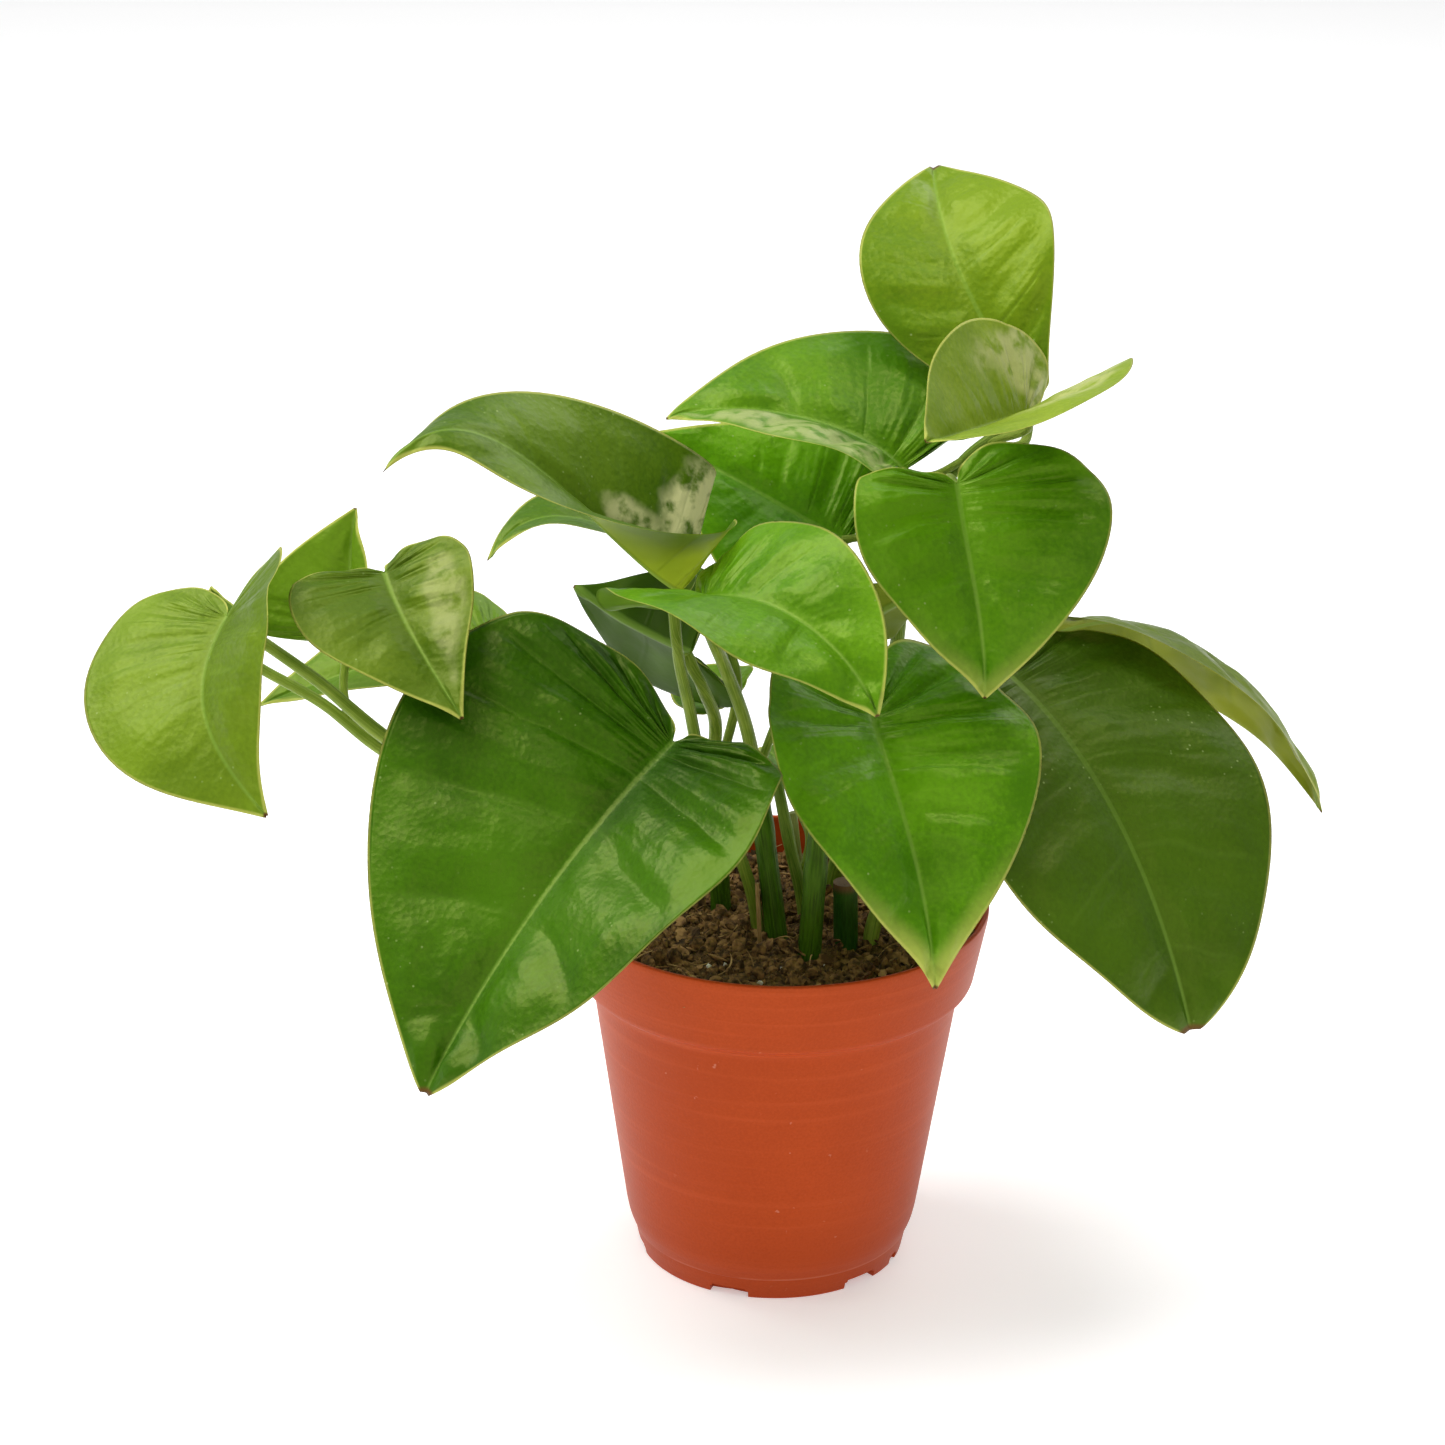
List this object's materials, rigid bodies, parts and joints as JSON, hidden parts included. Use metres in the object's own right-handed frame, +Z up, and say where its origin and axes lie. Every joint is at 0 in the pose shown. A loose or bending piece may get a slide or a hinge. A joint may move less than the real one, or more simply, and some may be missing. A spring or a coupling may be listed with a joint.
{
  "type": "potted plant",
  "caption": "Trailing house plant with heart-shaped leaves on long stalks, standing in a round tapered nursery pot filled with soil.",
  "frame": {"origin": "middle of the pot's flat underside, on the surface it stands on", "axes": "+Z up along the pot's axis, +X to the right and +Y to the back when the plant is seen from its fuller side"},
  "size_m": [0.3033, 0.1701, 0.2637],
  "materials": {
    "pot": "satin, fine moulded grain, terracotta coloured",
    "soil": "rough dark peat with pale bits and fibres",
    "leaf": "glossy green leaf with paler veins",
    "young_leaf": "glossy yellow-green leaf",
    "stem": "dark green, semi-matt",
    "stalk": "yellow-green, semi-matt",
    "sheath": "pale dry sheath",
    "fibre": "dry straw"
  },
  "bodies": {
    "root": {"pot": "pot", "soil": "soil", "front_left_leaf": "leaf", "front_middle_leaf": "leaf", "front_right_leaf": "leaf", "back_right_leaf": "young_leaf", "top_leaf": "young_leaf", "centre_leaf": "leaf", "right_middle_leaf": "leaf", "upper_folded_leaf": "leaf", "upper_middle_leaf": "leaf", "inner_middle_leaf": "leaf", "curled_leaf": "leaf", "under_curled_leaf": "leaf", "far_left_leaf": "leaf", "mid_left_leaf": "leaf", "upright_left_leaf": "leaf", "rolled_leaf": "leaf", "back_left_leaf": "leaf", "tucked_leaf": "leaf", "small_inner_leaf": "leaf", "low_inner_leaf": "leaf", "inner_right_leaf": "young_leaf", "dark_stem": "stem", "main_stem": "stem", "right_stem": "stem", "cut_stem": "stem", "tall_stem": "stem", "sheath": "stalk", "left_stem": "stalk", "back_left_stem": "stalk", "sheath_stub": "sheath", "dry_fibre": "fibre", "front_left_stalk": "stalk", "front_middle_stalk": "stalk", "front_right_stalk": "stalk", "back_right_stalk": "stalk", "centre_stalk": "stalk", "right_middle_stalk": "stalk", "upper_middle_stalk": "stalk", "inner_middle_stalk": "stalk", "curled_stalk": "stalk", "under_curled_stalk": "stalk", "mid_left_stalk": "stalk", "upright_left_stalk": "stalk", "back_left_stalk": "stalk", "tucked_stalk": "stalk", "small_inner_stalk": "stalk", "low_inner_stalk": "stalk", "inner_right_stalk": "stalk", "top_stalk": "stalk", "upper_folded_stalk": "stalk"}
  },
  "joints": []
}
